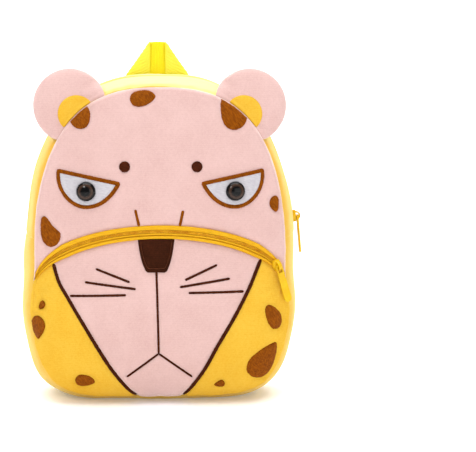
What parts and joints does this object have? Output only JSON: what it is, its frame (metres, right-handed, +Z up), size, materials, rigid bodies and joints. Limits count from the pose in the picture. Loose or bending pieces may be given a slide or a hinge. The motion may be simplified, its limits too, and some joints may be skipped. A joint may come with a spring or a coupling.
{
  "type": "plush animal backpack",
  "caption": "Small child's plush backpack shaped as a leopard's face, with round ears, a zipped front pocket, a zipped main bag, a webbing handle and padded shoulder straps.",
  "frame": {"origin": "middle of the flat base, on the floor", "axes": "+Z up, +Y towards the back and the shoulder straps, so that the face looks along -Y; +X is to the right of somebody who looks at the face"},
  "size_m": [0.2383, 0.1288, 0.301],
  "materials": {
    "pink_fleece": "short-pile plush",
    "yellow_fleece": "short-pile plush",
    "yellow_lining": "plain weave",
    "brown_satin": "satin stitch",
    "dark_satin": "satin stitch",
    "dark_plush": "short-pile plush",
    "white_satin": "satin stitch",
    "eye_plastic": "polished",
    "zip_tape": "woven tape",
    "zip_coil": "moulded coil",
    "slider_enamel": "gloss enamel",
    "yellow_webbing": "ribbed webbing",
    "brown_plush": "short-pile plush",
    "yellow_plastic": "moulded"
  },
  "bodies": {
    "bag": {"back_panel": "yellow_fleece", "bridge_line_left": "brown_satin", "bridge_line_right": "brown_satin", "brow_dot_left": "dark_satin", "brow_dot_right": "dark_satin", "cheek_left": "yellow_fleece", "cheek_right": "yellow_fleece", "ear_left": "pink_fleece", "ear_right": "pink_fleece", "eye_left": "eye_plastic", "eye_right": "eye_plastic", "eye_rim_left": "brown_satin", "eye_rim_right": "brown_satin", "eye_white_left": "white_satin", "eye_white_right": "white_satin", "face_panel": "pink_fleece", "gusset_back": "yellow_fleece", "gusset_bottom": "yellow_fleece", "gusset_front": "yellow_fleece", "handle": "yellow_webbing", "inner_ear_left": "yellow_fleece", "inner_ear_right": "yellow_fleece", "ladder_lock_left": "yellow_plastic", "ladder_lock_right": "yellow_plastic", "main_slider": "slider_enamel", "main_zip_coil": "zip_coil", "main_zip_tape": "zip_tape", "mouth": "dark_satin", "muzzle_border_left": "dark_satin", "muzzle_border_right": "dark_satin", "muzzle_panel": "pink_fleece", "nose": "dark_plush", "pocket_back": "yellow_lining", "pocket_slider": "slider_enamel", "pocket_zip_coil": "zip_coil", "pocket_zip_tape_lower": "zip_tape", "pocket_zip_tape_upper": "zip_tape", "shoulder_strap_left": "brown_plush", "shoulder_strap_right": "brown_plush", "spot_cheek_left": "brown_satin", "spot_cheek_right": "brown_satin", "spot_crown": "brown_satin", "spot_pocket_left": "brown_satin", "spot_pocket_left_small": "brown_satin", "spot_pocket_low_left": "brown_satin", "spot_pocket_low_right": "brown_satin", "spot_pocket_low_small": "brown_satin", "spot_pocket_right": "brown_satin", "spot_temple_left": "brown_satin", "spot_temple_right": "brown_satin", "strap_webbing_left": "yellow_webbing", "strap_webbing_right": "yellow_webbing"},
    "pocket_pull": {"pocket_pull": "yellow_plastic"},
    "main_pull": {"main_pull": "yellow_plastic"}
  },
  "joints": [
    {"name": "pocket_pull_swing", "type": "hinge", "parent": "bag", "child": "pocket_pull", "pos_m": [0.09762, -0.0413, 0.11523], "axis": [-0.8839, -0.3548, -0.3046], "range_deg": [0, 125]},
    {"name": "main_pull_swing", "type": "hinge", "parent": "bag", "child": "main_pull", "pos_m": [0.11844, 0.003, 0.15302], "axis": [0, -1, 0], "range_deg": [0, 150]}
  ]
}
